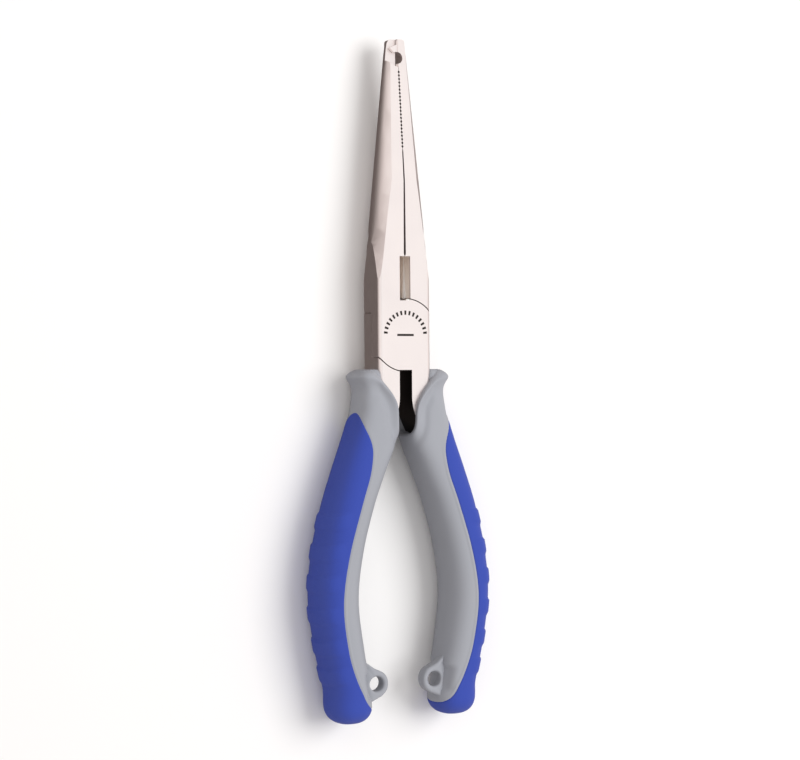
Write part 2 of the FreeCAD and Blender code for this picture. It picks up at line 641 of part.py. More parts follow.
def shank_window():
    """The inner side of the mouth, where the shank shows down to the crotch."""
    body = body_named("ShankWindow")
    sketch = sketch_on(body, "XY_Plane", "WindowOutline")
    outline(sketch, [
        ("-Sizes.standoff", "-Sizes.room_top"),
        ("-Sizes.standoff", "-Sizes.crotch_depth"),
        ("Sizes.window_side", "-Sizes.crotch_depth"),
        ("Sizes.window_side", "-Sizes.room_top"),
    ])
    pad(body, sketch, "(Sizes.steel_half + Sizes.tang_fit) * 2", "WindowPad")
    return body


def tang_hole():
    """The room that a tang and the side of the block take inside a grip."""
    body = body_named("TangHole")
    side = sketch_on(body, "XY_Plane", "BlockSide")
    outline(side, [
        ("0", "-Sizes.room_top"),
        ("0", "-Sizes.shank_bend - Sizes.tang_fit"),
        ("Sizes.block_half + Sizes.tang_fit", "-Sizes.shank_bend - Sizes.tang_fit"),
        ("Sizes.block_half + Sizes.tang_fit", "-Sizes.room_top"),
    ])
    pad(body, side, "(Sizes.steel_half + Sizes.tang_fit) * 2", "BlockRoom")
    tang(body, "Room", "(Sizes.block_half - Sizes.slot_half) / 2 + Sizes.tang_fit",
         "Sizes.steel_half + Sizes.tang_fit", "Sizes.shank_bend - 2 * Sizes.standoff",
         "Sizes.tang_end + Sizes.tang_room")
    return body


def lanyard_loop():
    """A flat ring on the inner side near the bottom."""
    body = body_named("LanyardLoop")
    sketch = sketch_on(body, "XY_Plane", "LoopOutline", "Sizes.loop_front")
    outline(sketch, [
        ("Sizes.loop_neck", "-Sizes.loop_depth + Sizes.loop_drop", "Sizes.loop_radius", "left"),
        ("Sizes.loop_neck", "-Sizes.loop_depth - Sizes.loop_drop"),
        ("Sizes.loop_root", "-Sizes.loop_depth - Sizes.loop_spread"),
        ("Sizes.loop_root", "-Sizes.loop_depth + Sizes.loop_spread"),
    ])
    pad(body, sketch, "Sizes.loop_half * 2", "LoopPad")
    return body


def lanyard_hole():
    """The hole through the loop. In line with it, in front and behind, wider recesses keep the
    side of the grip clear of the hole."""
    body = body_named("LanyardHole")
    through = sketch_on(body, "XY_Plane", "HoleCircle", "Sizes.loop_front")
    circle(through, "Sizes.loop_x", "-Sizes.loop_depth", "Sizes.loop_hole")
    pad(body, through, "(Sizes.loop_half + Sizes.standoff) * 2", "HolePad")
    for side, sign, reversed_pad in (("Front", "+", False), ("Back", "-", True)):
        face = "Sizes.loop_front %s Sizes.loop_half" % sign
        recess = sketch_on(body, "XY_Plane", side + "RecessCircle", face)
        circle(recess, "Sizes.loop_x", "-Sizes.loop_depth", "Sizes.loop_hole + Sizes.loop_relief")
        relief = body.newObject("PartDesign::Pad", side + "Recess")
        relief.Profile = recess
        relief.Reversed = reversed_pad
        relief.setExpression("Length", "Sizes.belly_thick * 2")
        body.Tip = relief
    return body


def boolean(kind, name, base, tool):
    joined = doc.addObject("Part::" + kind, name)
    joined.Base = base
    joined.Tool = tool
    joined.Refine = True
    return joined


def make_grips():
    """The soft overlay is the outer skin of the form, and the hard core is all the rest of it."""
    form = grip_form("GripForm", "0")
    inside = grip_form("GripInside", "Sizes.overlay_thick")
    region = overlay_region()
    skin = boolean("Cut", "GripSkin", form, inside)
    overlay = boolean("Common", "RightOverlay", skin, region)
    looped = boolean("Fuse", "FormWithLoop", form, lanyard_loop())
    drilled = boolean("Cut", "FormWithHole", looped, lanyard_hole())
    hard = boolean("Cut", "HardPart", drilled, overlay)
    open_top = boolean("Cut", "OpenTop", hard, above_the_rim())
    windowed = boolean("Cut", "Windowed", open_top, shank_window())
    core = boolean("Cut", "RightCore", windowed, tang_hole())
    return core, overlay


def sided(source, name, mirrored):
    """One side's copy of a right-hand piece, at its place."""
    if mirrored:
        piece = doc.addObject("Part::Mirroring", name)
        piece.Source = source
        piece.Normal = Vector(1, 0, 0)
    else:
        piece = doc.addObject("Part::Compound", name)
        piece.Links = [source]
    place(piece)
    return piece


# ---------------------------------------------------------------- build, check and write

def check(pieces):
    """Stop if any object failed or any piece is not a valid solid."""
    for item in doc.Objects:
        if "Invalid" in item.State or "Error" in item.State:
            raise RuntimeError("%s is %s" % (item.Label, item.State))
    for piece in pieces:
        shape = piece.Shape
        if shape.isNull() or not shape.isValid() or not shape.Solids:
            raise RuntimeError("%s has no valid shape" % piece.Label)
        box = shape.BoundBox
        print("%-20s %d solid  %8.1f mm3  x %.2f..%.2f  y %.2f..%.2f  z %.2f..%.2f" % (
            piece.Label, len(shape.Solids), shape.Volume,
            box.XMin, box.XMax, box.YMin, box.YMax, box.ZMin, box.ZMax))


def main():
    front_half = half("front_half", False)
    rear_half = half("rear_half", True)
    rivet = make_rivet()
    core, overlay = make_grips()
    pieces = [front_half, rear_half, rivet]
    for side, mirrored in (("left", True), ("right", False)):
        pieces.append(sided(core, side + "_grip_core", mirrored))
        pieces.append(sided(overlay, side + "_grip_overlay", mirrored))
    doc.recompute()
    check(pieces)
    os.makedirs("parts", exist_ok=True)
    for piece in pieces:
        piece.Shape.exportStep("parts/%s.step" % piece.Label)


main()
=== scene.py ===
# %% [markdown]
# # Fishing pliers
# Long-nose pliers with a lap joint: two steel forgings turn on one rivet, and each handle wears a
# two-colour grip, hard grey plastic with soft blue rubber moulded over its outer side.
# The steel comes from the CAD model and keeps its shape. The grips are modelled again here,
# because a moulded grip is all soft curves, which a mesh draws better than a few CAD sections.

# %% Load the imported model
import json
import math

import bmesh
import bpy
from mathutils import Matrix, Vector, kdtree


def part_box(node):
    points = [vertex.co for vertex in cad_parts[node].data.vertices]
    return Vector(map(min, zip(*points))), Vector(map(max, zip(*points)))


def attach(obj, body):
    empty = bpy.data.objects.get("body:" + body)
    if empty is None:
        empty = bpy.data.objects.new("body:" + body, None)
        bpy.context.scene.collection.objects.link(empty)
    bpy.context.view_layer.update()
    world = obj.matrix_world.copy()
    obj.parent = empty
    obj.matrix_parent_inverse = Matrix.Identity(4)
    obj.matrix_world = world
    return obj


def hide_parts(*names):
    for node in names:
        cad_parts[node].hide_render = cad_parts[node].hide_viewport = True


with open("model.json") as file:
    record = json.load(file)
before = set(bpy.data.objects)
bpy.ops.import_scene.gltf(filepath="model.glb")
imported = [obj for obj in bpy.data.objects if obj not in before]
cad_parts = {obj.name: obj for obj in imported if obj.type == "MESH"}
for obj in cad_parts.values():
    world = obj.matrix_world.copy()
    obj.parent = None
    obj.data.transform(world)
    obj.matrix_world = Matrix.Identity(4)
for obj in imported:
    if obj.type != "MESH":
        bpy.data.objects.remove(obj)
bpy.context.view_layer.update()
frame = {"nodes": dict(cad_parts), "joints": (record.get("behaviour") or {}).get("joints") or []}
print("CAD nodes:", sorted(frame["nodes"]))

# %% Lengths and the pivot
MM = 0.001
PIVOT = Vector(frame["joints"][0]["pos_m"])
STEEL_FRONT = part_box("front_half")[1].z
STEEL_HALF = (STEEL_FRONT - PIVOT.z) / MM
print("pivot at", [round(v / MM, 2) for v in PIVOT], "mm, half the steel: %.2f mm" % STEEL_HALF)

# %% [markdown]
# ## The camera
# A long lens from half a metre away, as for a catalogue picture: the tool stays nearly free of
# perspective, which a short lens close by would bend. The camera leans to the left of the joint's
# front face, so that the left sides of the jaws and grips show. It looks down on the tool, which
# lies on its back.

# %% Camera
CAMERA_DISTANCE = 528 * MM
CAMERA_LEAN = math.radians(28)
CAMERA_ROLL = math.radians(-0.5)
AIM_LEFT = 1.65 * MM
AIM_DOWN = 12.5 * MM
LENS = 85.5


def make_camera():
    """Aim the camera so that the joint sits a little right of the middle and above it."""
    right = Vector((math.cos(CAMERA_LEAN), 0, math.sin(CAMERA_LEAN)))
    up = Vector((0, 1, 0))
    back = Vector((-math.sin(CAMERA_LEAN), 0, math.cos(CAMERA_LEAN)))
    aim = Vector((PIVOT.x, PIVOT.y, STEEL_FRONT)) - right * AIM_LEFT - up * AIM_DOWN
    turn = Matrix.Rotation(CAMERA_ROLL, 3, back)
    axes = Matrix((turn @ right, turn @ up, back)).transposed()
    lens = bpy.data.cameras.new("camera")
    lens.sensor_width = 36
    lens.lens = LENS
    lens.clip_start = 10 * MM
    lens.clip_end = 20
    camera = bpy.data.objects.new("camera", lens)
    camera.matrix_world = Matrix.Translation(aim + back * CAMERA_DISTANCE) @ axes.to_4x4()
    bpy.context.scene.collection.objects.link(camera)
    bpy.context.scene.camera = camera
    return camera


camera = make_camera()
print("lens %.1f mm" % camera.data.lens)

# %% [markdown]
# ## Colours and nodes
# Colours are written as sRGB hex values, as a paint program shows them, and turned to the linear
# values that shaders work in. A material could be built by hand in the shader editor, but a script
# can be read and repeated, so one helper adds any node with its settings and its links.

# %% Helpers for materials
def colour(code):
    """Linear RGBA from an sRGB hex code."""
    parts = [int(code[i:i + 2], 16) / 255 for i in (1, 3, 5)]
    linear = [p / 12.92 if p <= 0.04045 else ((p + 0.055) / 1.055) ** 2.4 for p in parts]
    return (*linear, 1.0)


def add(tree, kind, sockets=None, **settings):
    """Add one node. Settings are its properties; sockets are values, or outputs to link from.
    A Mix node has several sockets of one name, so its sockets are given by number."""
    node = tree.nodes.new(kind)
    for name, value in settings.items():
        setattr(node, name, value)
    for name, value in (sockets or {}).items():
        if isinstance(value, bpy.types.NodeSocket):
            tree.links.new(value, node.inputs[name])
        else:
            node.inputs[name].default_value = value
    return node


def new_material(name):
    """A material with an empty tree, its Principled shader and its object coordinates."""
    material = bpy.data.materials.new(name)
    material.use_nodes = True
    tree = material.node_tree
    tree.nodes.clear()
    shader = add(tree, "ShaderNodeBsdfPrincipled")
    add(tree, "ShaderNodeOutputMaterial", {"Surface": shader.outputs["BSDF"]})
    place = add(tree, "ShaderNodeTexCoord").outputs["Object"]
    return material, tree, shader, place


print("nickel white in linear values:", [round(v, 3) for v in colour("#F6EEEB")])

# %% [markdown]
# ## The floor and the light
# The tool lies on a pale sheet under a white studio ceiling. Polished steel shows whatever stands
# round it, so the surroundings matter more than the lamps: they fade from white overhead to dark
# grey underneath, which turns the front faces nearly white, the chamfers a step darker and the sides
# into dark bands. An outdoor picture could stand in for the studio, but a colour ramp over height
# is easier to steer. The sheet and the lamps stay out of mirror reflections, which they would fill
# with hard white patches.

# %% Floor
FLOOR_SIZE = 3.0


def make_floor():
    mesh = bpy.data.meshes.new("floor")
    shape = bmesh.new()
    bmesh.ops.create_grid(shape, x_segments=1, y_segments=1, size=FLOOR_SIZE)
    shape.to_mesh(mesh)
    shape.free()
    floor = bpy.data.objects.new("floor", mesh)
    bpy.context.scene.collection.objects.link(floor)
    floor.visible_glossy = False
    material, _, shader, _ = new_material("pale_paper")
    shader.inputs["Base Color"].default_value = colour("#F6F5F4")
    shader.inputs["Roughness"].default_value = 0.9
    mesh.materials.append(material)
    return floor


print("floor:", make_floor().name)


# %% Lights
def soft_light(name, place, target, size, power):
    """A square area light that points at the target, and that polished steel does not mirror."""
    lamp = bpy.data.lights.new(name, "AREA")
    lamp.size = size
    lamp.energy = power
    light = bpy.data.objects.new(name, lamp)
    light.location = place
    light.rotation_euler = (target - place).to_track_quat("-Z", "Y").to_euler()
    light.visible_glossy = False
    bpy.context.scene.collection.objects.link(light)


KEY_PLACE = PIVOT + Vector((0.42, 0.12, 0.75))
FILL_PLACE = PIVOT + Vector((-0.55, 0.45, 0.55))
soft_light("key", KEY_PLACE, PIVOT, size=0.60, power=5.2)
soft_light("fill", FILL_PLACE, PIVOT, size=0.40, power=0.3)


# %% The studio round the tool
STUDIO_RAMP = ((0.14, "#584F4C"), (0.26, "#9C9491"), (0.44, "#D8CFCC"), (0.72, "#FAF4F2"))
CAMERA_SHADE = 0.76
MIRRORED_POWER = 1.08
DIFFUSE_POWER = 0.66


def make_studio():
    """White overhead and dark warm grey underneath, with the camera as a soft darker spot. Matt
    surfaces get less of this light than mirrors do, so that the key light can model them."""
    world = bpy.data.worlds.new("studio")
    world.use_nodes = True
    tree = world.node_tree
    tree.nodes.clear()
    ray = add(tree, "ShaderNodeTexCoord").outputs["Generated"]
    height = add(tree, "ShaderNodeSeparateXYZ", {"Vector": ray})
    ceiling = add(tree, "ShaderNodeValToRGB", {"Fac": add(tree, "ShaderNodeMapRange", {
        "Value": height.outputs["Z"], "From Min": -1.0, "From Max": 1.0}).outputs["Result"]})
    ramp = ceiling.color_ramp
    ramp.elements[0].position, ramp.elements[0].color = 0.0, colour("#564D4A")
    ramp.elements[1].position, ramp.elements[1].color = 1.0, colour("#FFFFFF")
    for position, code in STUDIO_RAMP:
        ramp.elements.new(position).color = colour(code)
    towards = add(tree, "ShaderNodeVectorMath", {0: ray, 1: (
        -math.sin(CAMERA_LEAN), 0, math.cos(CAMERA_LEAN))}, operation="DOT_PRODUCT")
    shade = add(tree, "ShaderNodeMapRange", {
        "Value": towards.outputs["Value"], "From Min": 0.96, "From Max": 1.0,
        "To Min": 1.0, "To Max": CAMERA_SHADE}, interpolation_type="SMOOTHSTEP")
    lit = add(tree, "ShaderNodeVectorMath", {
        0: ceiling.outputs["Color"], "Scale": shade.outputs["Result"]}, operation="SCALE")
    path = add(tree, "ShaderNodeLightPath")
    power = add(tree, "ShaderNodeMapRange", {"Value": path.outputs["Is Diffuse Ray"],
                                             "To Min": MIRRORED_POWER, "To Max": DIFFUSE_POWER})
    sky = add(tree, "ShaderNodeBackground", {"Color": lit.outputs["Vector"],
                                             "Strength": power.outputs["Result"]})
    add(tree, "ShaderNodeOutputWorld", {"Surface": sky.outputs["Background"]})
    bpy.context.scene.world = world
    bpy.context.scene.view_settings.view_transform = "Standard"


make_studio()
print("studio:", bpy.context.scene.world.name)

# %% [markdown]
# ## Steel
# The halves are forged carbon steel, ground and tumbled, then nickel plated to stand the sea. That
# gives a bright satin metal with a faint warm cast: a mirror blurred by fine tumbling marks. A map
# of scratches would have to be laid over every face, so a noise that is drawn out along the tool
# puts the marks in space instead. Real marks are about 0.02 mm wide, too fine to show, so the grain
# is drawn 0.2 mm across.

# %% Masks and the grain
SOFT_EDGE = 0.03 * MM
GRAIN = Vector((0.2, 1.2, 0.2)) * MM
GRAIN_HIGH = 0.02 * MM


def patch(tree, *ranges):
    """1 where every value lies between its low and high limits, with soft edges; 0 elsewhere."""
    cover = 1.0
    for value, low, high, soft in ranges:
        for start, end in ((low - soft, low + soft), (high + soft, high - soft)):
            edge = add(tree, "ShaderNodeMapRange", {"Value": value, "From Min": start, "From Max": end})
            cover = add(tree, "ShaderNodeMath", {0: cover, 1: edge.outputs["Result"]},
                        operation="MULTIPLY").outputs["Value"]
    return cover


def tumbled_grain(tree, place):
    """The noise of the tumbling marks, and a bump from it."""
    drawn = add(tree, "ShaderNodeVectorMath", {0: place, 1: GRAIN}, operation="DIVIDE")
    grain = add(tree, "ShaderNodeTexNoise", {"Vector": drawn.outputs["Vector"], "Scale": 1.0,
                                             "Detail": 3.0})
    bump = add(tree, "ShaderNodeBump", {"Height": grain.outputs["Fac"], "Strength": 0.25,
                                        "Distance": GRAIN_HIGH})
    return grain.outputs["Fac"], bump.outputs["Normal"]


print("grain drawn %.1f by %.1f mm" % (GRAIN.x / MM, GRAIN.y / MM))

# %% [markdown]
# ## The mark on the joint
# A maker etches a mark on the front of the joint. This one is plain: an arc of ticks over a bar. It
# could be a thin mesh of its own, but a mask in the steel's material needs no extra geometry. The
# distance from the pivot gives the arc, and a sawtooth of the direction cuts it into ticks.

# %% The etched mark
MARK_RADIUS = 6.2 * MM
MARK_TICKS = 15
TICK_HALF = 0.6 * MM
TICK_SHARE = (0.27, 0.73)
BAR_LONG = 2.6 * MM
BAR_HIGH = 0.3 * MM
MARK_EDGE = 0.06 * MM
SKIN_DEEP = 0.02 * MM


def etched_mark(tree, spot):
    """The mask of the mark, on the front face only."""
    parts = add(tree, "ShaderNodeSeparateXYZ", {"Vector": spot})
    x, y, z = (parts.outputs[axis] for axis in "XYZ")
    flat = add(tree, "ShaderNodeVectorMath", {0: spot, 1: (1, 1, 0)}, operation="MULTIPLY")
    radius = add(tree, "ShaderNodeVectorMath", {0: flat.outputs["Vector"]},
                 operation="LENGTH").outputs["Value"]
    angle = add(tree, "ShaderNodeMath", {0: y, 1: x}, operation="ARCTAN2").outputs["Value"]
    turns = add(tree, "ShaderNodeMath", {0: angle, 1: MARK_TICKS / math.pi}, operation="MULTIPLY")
    beat = add(tree, "ShaderNodeMath", {0: turns.outputs["Value"]}, operation="FRACT").outputs["Value"]
    ticks = patch(tree, (beat, *TICK_SHARE, 0.05), (angle, 0.0, math.pi, 0.01),
                  (radius, MARK_RADIUS - TICK_HALF, MARK_RADIUS + TICK_HALF, MARK_EDGE))
    bar = patch(tree, (x, -BAR_LONG, BAR_LONG, MARK_EDGE), (y, -BAR_HIGH, BAR_HIGH, MARK_EDGE))
    both = add(tree, "ShaderNodeMath", {0: ticks, 1: bar}, operation="MAXIMUM").outputs["Value"]
    front = patch(tree, (z, STEEL_HALF * MM - SKIN_DEEP, 1.0, SKIN_DEEP / 2))
    return add(tree, "ShaderNodeMath", {0: both, 1: front}, operation="MULTIPLY").outputs["Value"]


print("mark: %d ticks at %.1f mm" % (MARK_TICKS, MARK_RADIUS / MM))

# %% [markdown]
# ## The cutter and the slot
# The plating is ground away where the cutting edges were sharpened: the ground steel is a little darker.
# Down each bevel runs a thin band of painted light in pure white, narrow at the top, for the light seen
# through the gap between the edges. The slot between the shanks, and the steel between the two faces
# further down, are painted nearly black as painted shade. Separate materials would need the faces to
# end where the finishes do, so masks of the place pick them out instead.

# %% Limits of the finishes and of the painted light and shade, seen from the pivot
CUTTER_LOW = 9.6 * MM
CUTTER_HIGH = 21.9 * MM
CUTTER_HALF = 1.62 * MM
WEDGE_MIDDLE = 0.95 * MM
WEDGE_ABOVE = 1.0 * MM
WEDGE_SLOPE = 0.017
WEDGE_SOFT = 0.003
SLOT_HALF = 1.94 * MM
SLOT_TOP = -9.7 * MM
SLOT_END = -40 * MM
SHANK_TOP = -16 * MM
SHANK_END = -70 * MM
SHANK_HALF = (STEEL_HALF - 0.08) * MM


def ground_bevels(tree, x, y, grain):
    """The colour of the cutter's ground bevels with a band of painted light down each, and their mask."""
    bevel = add(tree, "ShaderNodeMix", {"Factor": grain, 6: colour("#EFE7E0"), 7: colour("#E2D9D1")},
                data_type="RGBA")
    side = add(tree, "ShaderNodeMath", {0: x}, operation="ABSOLUTE").outputs["Value"]
    shift = add(tree, "ShaderNodeMath", {0: side, 1: WEDGE_MIDDLE}, operation="SUBTRACT")
    drop = add(tree, "ShaderNodeMath", {0: CUTTER_HIGH + WEDGE_ABOVE, 1: y}, operation="SUBTRACT")
    slant = add(tree, "ShaderNodeMath", {0: shift.outputs["Value"], 1: drop.outputs["Value"]},
                operation="DIVIDE").outputs["Value"]
    # Painted light: a pure white band down each bevel, narrow at the top, stands for the light seen through
    # the gap between the cutting edges.
    painted_gap_light = patch(tree, (slant, -WEDGE_SLOPE, WEDGE_SLOPE, WEDGE_SOFT))
    bare_steel_and_painted_gap_light = add(tree, "ShaderNodeMix", {"Factor": painted_gap_light, 6: bevel.outputs[2], 7: colour("#FFFFFF")},
               data_type="RGBA")
    mask = patch(tree, (x, -CUTTER_HALF, CUTTER_HALF, SOFT_EDGE), (y, CUTTER_LOW, CUTTER_HIGH, SOFT_EDGE))
    return bare_steel_and_painted_gap_light.outputs[2], mask


def painted_slot_shade(tree, x, y, z):
    """The mask of the painted shade: the slot and, further down, all that lies between the two faces."""
    slot = patch(tree, (x, -SLOT_HALF, SLOT_HALF, SOFT_EDGE), (y, SLOT_END, SLOT_TOP, SOFT_EDGE))
    shanks = patch(tree, (y, SHANK_END, SHANK_TOP, SOFT_EDGE), (z, -SHANK_HALF, SHANK_HALF, SOFT_EDGE))
    return add(tree, "ShaderNodeMath", {0: slot, 1: shanks}, operation="MAXIMUM").outputs["Value"]


print("cutter from %.1f to %.1f mm above the pivot" % (CUTTER_LOW / MM, CUTTER_HIGH / MM))


# %% The plated steel
CLOUD = 14 * MM
SATIN = (0.34, 0.42)
ETCHED_ROUGHNESS = 0.6


def plated_steel():
    """Nickel plate in two close tones, with the ground bevels and their painted light, the slot's painted
    shade and the etched mark laid over it.
    """
    material, tree, shader, place = new_material("nickel_plated_steel")
    spot = add(tree, "ShaderNodeVectorMath", {0: place, 1: PIVOT}, operation="SUBTRACT").outputs["Vector"]
    parts = add(tree, "ShaderNodeSeparateXYZ", {"Vector": spot})
    x, y, z = (parts.outputs[axis] for axis in "XYZ")
    grain, normal = tumbled_grain(tree, place)
    cloud = add(tree, "ShaderNodeTexNoise", {"Vector": place, "Scale": 1 / CLOUD, "Detail": 2.0})
    finish = add(tree, "ShaderNodeMix", {"Factor": cloud.outputs["Fac"], 6: colour("#F6EEEB"),
                                         7: colour("#EDE5E3")}, data_type="RGBA")
    bare_steel_and_painted_gap_light, ground = ground_bevels(tree, x, y, grain)
    mark = etched_mark(tree, spot)
    # The near-black colour is painted shade in the slot and between the shanks; the last colour is the
    # etched mark.
    for mask, over in ((ground, bare_steel_and_painted_gap_light), (painted_slot_shade(tree, x, y, z), colour("#2A2624")),
                       (mark, colour("#3B3634"))):
        finish = add(tree, "ShaderNodeMix", {"Factor": mask, 6: finish.outputs[2], 7: over},
                     data_type="RGBA")
    gloss = add(tree, "ShaderNodeMapRange", {"Value": grain, "From Min": 0.3, "From Max": 0.7,
                                             "To Min": SATIN[0], "To Max": SATIN[1]})
    rough = add(tree, "ShaderNodeMix", {"Factor": mark, 2: gloss.outputs["Result"], 3: ETCHED_ROUGHNESS})
    shader.inputs["Metallic"].default_value = 1.0
    tree.links.new(finish.outputs[2], shader.inputs["Base Color"])
    tree.links.new(rough.outputs[0], shader.inputs["Roughness"])
    tree.links.new(normal, shader.inputs["Normal"])
    return material


STEEL = plated_steel()
print("steel nodes:", len(STEEL.node_tree.nodes))

# %% [markdown]
# ## The rivet
# The rivet is turned steel, pressed in and faced off flush in a lathe, which leaves fine rings about
# its axis. The rings could be modelled, but they are only 0.02 mm high, so a bump does it. Real
# rings stand 0.1 mm apart, too fine to show, so the waves are drawn coarser.

# %% The turned rivet
RING_SCALE = 1 / (1.6 * MM)


def rivet_steel():
    """Turned steel with rings about the pivot."""
    material, tree, shader, place = new_material("turned_rivet_steel")
    spot = add(tree, "ShaderNodeVectorMath", {0: place, 1: PIVOT}, operation="SUBTRACT")
    rings = add(tree, "ShaderNodeTexWave", {"Vector": spot.outputs["Vector"], "Scale": RING_SCALE,
                                            "Distortion": 0.3}, wave_type="RINGS", rings_direction="Z")
    bump = add(tree, "ShaderNodeBump", {"Height": rings.outputs["Fac"], "Strength": 0.2,
                                        "Distance": GRAIN_HIGH})
    shader.inputs["Base Color"].default_value = colour("#DAD3CF")
    shader.inputs["Metallic"].default_value = 1.0
    shader.inputs["Roughness"].default_value = 0.3
    tree.links.new(bump.outputs["Normal"], shader.inputs["Normal"])
    return material


def dress(node_name, material):
    """Give a CAD node its finish."""
    slots = frame["nodes"][node_name].data.materials
    slots.clear()
    slots.append(material)


dress("front_half", STEEL)
dress("rear_half", STEEL)
dress("pivot_rivet", rivet_steel())
print("dressed: both halves and the rivet")

# %% [markdown]
# ## The shape of a grip
# Each grip is one smooth form that was moulded in two shots, and both shots follow the same skin.
# It could be sculpted, but then the two shots would not share a surface. So the skin is written
# once, as a cross-section for each distance behind the pivot, and the hard core and the soft overlay
# are both drawn on it. A section is a superellipse: a rounded box near the collar that turns into an
# egg further down. Only the right grip is worked out; the left one is its mirror image.

# %% Sections of the skin, in mm
# distance behind the pivot, inner side, outer side, half thickness, squareness
SECTIONS = (
    (9.0, 1.6, 13.5, 6.25, 4.8),
    (12.0, 1.6, 13.5, 6.3, 4.8),
    (18.0, 1.6, 12.95, 6.4, 4.5),
    (22.0, 1.6, 13.4, 6.5, 4.2),
    (28.6, 2.0, 15.8, 6.95, 3.3),
    (37.5, 5.5, 19.2, 7.4, 2.8),
    (47.0, 9.2, 22.35, 7.8, 2.65),
    (60.0, 12.8, 25.45, 8.0, 2.55),
    (73.0, 14.35, 26.55, 8.05, 2.5),
    (87.0, 12.6, 24.75, 7.7, 2.5),
    (98.0, 10.4, 22.5, 7.2, 2.45),
    (101.0, 10.2, 22.5, 7.05, 2.4),
    (104.0, 10.3, 22.5, 7.0, 2.4),
)
CAP_START = 101.0
CAP_END = 107.0
CAP_ROUND = 2.6


def section(depth):
    """The section's four numbers at any distance, on a smooth curve through the table. The slopes at
    a row come from its two neighbours, and h holds the four weights of a Hermite curve."""
    row = 0
    while row < len(SECTIONS) - 2 and SECTIONS[row + 1][0] <= depth:
        row += 1
    before, a = SECTIONS[max(row - 1, 0)], SECTIONS[row]
    b, after = SECTIONS[row + 1], SECTIONS[min(row + 2, len(SECTIONS) - 1)]
    span = b[0] - a[0]
    t = min(max((depth - a[0]) / span, 0.0), 1.0)
    leave, arrive = span / (b[0] - before[0]), span / (after[0] - a[0])
    h = (2 * t ** 3 - 3 * t * t + 1, t ** 3 - 2 * t * t + t, 3 * t * t - 2 * t ** 3, t ** 3 - t * t)
    return [h[0] * a[k] + h[1] * leave * (b[k] - before[k]) + h[2] * b[k]
            + h[3] * arrive * (after[k] - a[k]) for k in (1, 2, 3, 4)]


def skin(depth, angle, out=0.0):
    """A point of the skin, moved outwards by out mm. Angle 0 looks away from the other grip."""
    inner, outer, half, square = section(min(depth, CAP_START))
    share = min(max((depth - CAP_START) / (CAP_END - CAP_START), 0.0), 1.0)
    shrink = (1 - share ** CAP_ROUND) ** (1 / CAP_ROUND)
    wide = (outer - inner) / 2 * shrink + out
    high = half * shrink + out
    c, s = math.cos(angle), math.sin(angle)
    reach = (abs(c) ** square + abs(s) ** square) ** (1 / square)
    x = (inner + outer) / 2 + wide * c / reach
    z = high * s / reach
    return Vector((PIVOT.x + x * MM, PIVOT.y - (depth + out * share ** 2) * MM, PIVOT.z + z * MM))


print("skin at the belly:", [round(v / MM, 1) for v in skin(73, 0)])


# %% Lines on the skin
def step(low, high, value):
    """0 below low, 1 above high, smooth between."""
    t = min(max((value - low) / (high - low), 0.0), 1.0)
    return t * t * (3 - 2 * t)


def turn_step(low, high, angle):
    """The same for an angle, between limits in degrees."""
    return step(math.radians(low), math.radians(high), angle)


def hump(middle, width, value):
    """1 at the middle, and fading to 0 on both sides."""
    return math.exp(-((value - middle) / width) ** 2)


def smooth_line(stops, per_span=24):
    """A Catmull-Rom line through (distance, angle) stops."""
    line = []
    for i in range(len(stops) - 1):
        p0, p1 = Vector(stops[max(i - 1, 0)]), Vector(stops[i])
        p2, p3 = Vector(stops[i + 1]), Vector(stops[min(i + 2, len(stops) - 1)])
        for k in range(per_span):
            t = k / per_span
            line.append(0.5 * (2 * p1 + (p2 - p0) * t + (2 * p0 - 5 * p1 + 4 * p2 - p3) * t * t
                               + (3 * p1 - 3 * p2 + p3 - p0) * t ** 3))
    return line + [Vector(stops[-1])]


def spaced(line, count):
    """The line again with count + 1 points that lie at equal steps along the skin."""
    places = [skin(p.x, p.y) for p in line]
    run = [0.0]
    for a, b in zip(places, places[1:]):
        run.append(run[-1] + (b - a).length)
    found, k = [], 0
    for i in range(count + 1):
        goal = run[-1] * i / count
        while k < len(run) - 2 and run[k + 1] < goal:
            k += 1
        found.append(line[k].lerp(line[k + 1], (goal - run[k]) / max(run[k + 1] - run[k], 1e-12)))
    return found


def tree_of(line):
    """A lookup for the distance to a line on the skin and to its mirror image at the back."""
    finder = kdtree.KDTree(len(line) * 2)
    for i, p in enumerate(line):
        finder.insert(skin(p.x, p.y), 2 * i)
        finder.insert(skin(p.x, -p.y), 2 * i + 1)
    finder.balance()
    return finder


# Both lines are (distance behind the pivot in mm, angle in degrees) stops.
# The rim of the hard core: level over the guard, then down the front edge to the crotch.
RIM_STOPS = ((9.5, 0), (9.5, 30), (9.6, 45), (9.8, 55), (10.3, 65), (11.4, 77), (12.7, 90.5),
             (14.0, 102), (15.4, 112.5), (17.0, 121.5), (18.6, 128.5), (20.4, 133), (22.3, 135.5),
             (24.3, 137.5), (26.0, 142), (27.1, 151), (27.5, 165), (27.5, 180))
